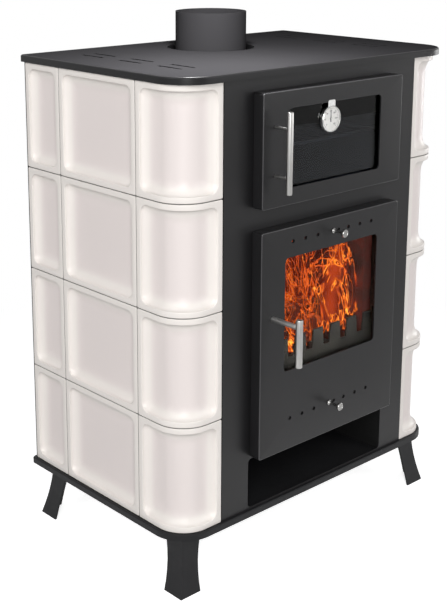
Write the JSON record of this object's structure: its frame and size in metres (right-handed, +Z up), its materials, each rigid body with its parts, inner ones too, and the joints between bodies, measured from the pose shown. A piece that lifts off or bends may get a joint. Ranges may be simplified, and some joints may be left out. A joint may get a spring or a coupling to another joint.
{
  "type": "tiled wood stove",
  "caption": "Free-standing wood stove with glazed tile sides, an oven above the fire chamber, hinged glass doors, sliding air controls, a flue collar and an open wood niche.",
  "frame": {"origin": "on the floor, in the middle of the overall width and depth", "axes": "+Z up, the front with the doors faces -Y, the hinges are on the +X side"},
  "size_m": [0.77, 0.588, 1.081],
  "materials": {
    "body_paint": "satin heat-resistant paint",
    "hinge_paint": "satin heat-resistant paint",
    "base_paint": "satin dark paint",
    "tile_glaze": "glossy cream-white glaze",
    "casing_sheet": "matt paint",
    "back_sheet": "matt paint",
    "niche_sheet": "matt black paint",
    "flue_paint": "matt heat-resistant paint",
    "chamber_steel": "bare steel, darkened by heat",
    "guard_steel": "steel, darkened by heat",
    "firebrick": "matt, sooty",
    "baffle_board": "matt, sooty",
    "grate_iron": "rough casting",
    "pan_sheet": "zinc-coated sheet",
    "oven_enamel": "dark enamel",
    "shelf_chrome": "bright wire",
    "catch_steel": "plain steel",
    "door_frame_paint": "matt heat-resistant paint",
    "rope_seal": "woven glass-fibre rope",
    "oven_glass": "dark glass ceramic",
    "fire_glass": "clear glass ceramic",
    "clip_steel": "plain steel",
    "handle_steel": "brushed",
    "spindle_steel": "turned",
    "knob_steel": "turned",
    "slide_steel": "plain steel",
    "case_chrome": "polished",
    "dial_white": "matt white with a printed scale",
    "needle_black": "matt black",
    "lens_glass": "clear"
  },
  "bodies": {
    "stove": {"ash_pan": "pan_sheet", "back_panel": "back_sheet", "baffle_plate": "baffle_board", "base_plate": "base_paint", "casing_left": "casing_sheet", "casing_right": "casing_sheet", "corner_tile_left_1": "tile_glaze", "corner_tile_left_2": "tile_glaze", "corner_tile_left_3": "tile_glaze", "corner_tile_left_4": "tile_glaze", "corner_tile_right_1": "tile_glaze", "corner_tile_right_2": "tile_glaze", "corner_tile_right_3": "tile_glaze", "corner_tile_right_4": "tile_glaze", "door_hinges": "hinge_paint", "fire_chamber": "chamber_steel", "firebrick_lining": "firebrick", "flue_collar": "flue_paint", "front_panel": "body_paint", "grate": "grate_iron", "leg_front_left": "base_paint", "leg_front_right": "base_paint", "leg_rear_left": "base_paint", "leg_rear_right": "base_paint", "log_guard": "guard_steel", "middle_tile_left_1": "tile_glaze", "middle_tile_left_2": "tile_glaze", "middle_tile_left_3": "tile_glaze", "middle_tile_left_4": "tile_glaze", "middle_tile_right_1": "tile_glaze", "middle_tile_right_2": "tile_glaze", "middle_tile_right_3": "tile_glaze", "middle_tile_right_4": "tile_glaze", "niche_liner": "niche_sheet", "oven_box": "oven_enamel", "oven_catch": "catch_steel", "oven_shelf": "shelf_chrome", "rear_tiles_left": "tile_glaze", "rear_tiles_right": "tile_glaze", "top_plate": "body_paint"},
    "oven_door": {"oven_door_shell": "body_paint", "oven_door_frame": "door_frame_paint", "oven_door_seal": "rope_seal", "oven_glass": "oven_glass", "oven_handle": "handle_steel", "thermometer_case": "case_chrome", "thermometer_dial": "dial_white", "thermometer_lens": "lens_glass"},
    "needle": {"thermometer_needle": "needle_black"},
    "fire_door": {"fire_door_shell": "body_paint", "fire_door_frame": "door_frame_paint", "fire_door_seal": "rope_seal", "fire_glass": "fire_glass", "glass_clips": "clip_steel"},
    "fire_handle": {"fire_latch": "spindle_steel", "fire_handle_bar": "handle_steel"},
    "upper_air_control": {"upper_air_slide": "slide_steel", "upper_air_knob": "knob_steel"},
    "lower_air_control": {"lower_air_slide": "slide_steel", "lower_air_knob": "knob_steel"}
  },
  "joints": [
    {"name": "oven_door_hinge", "type": "hinge", "parent": "stove", "child": "oven_door", "pos_m": [0.207, -0.197, 0.8545], "axis": [0, 0, 1], "range_deg": [0, 110]},
    {"name": "needle_turn", "type": "hinge", "parent": "oven_door", "child": "needle", "pos_m": [-0.016, -0.216, 0.897], "axis": [0, 1, 0], "range_deg": [-130, 130]},
    {"name": "fire_door_hinge", "type": "hinge", "parent": "stove", "child": "fire_door", "pos_m": [0.207, -0.197, 0.473], "axis": [0, 0, 1], "range_deg": [0, 110]},
    {"name": "fire_handle_turn", "type": "hinge", "parent": "fire_door", "child": "fire_handle", "pos_m": [-0.168, -0.225, 0.528], "axis": [0, 1, 0], "range_deg": [0, 90]},
    {"name": "upper_air_slide", "type": "slide", "parent": "fire_door", "child": "upper_air_control", "axis": [1, 0, 0], "range_m": [0, 0.016]},
    {"name": "lower_air_slide", "type": "slide", "parent": "fire_door", "child": "lower_air_control", "axis": [1, 0, 0], "range_m": [0, 0.016]}
  ]
}
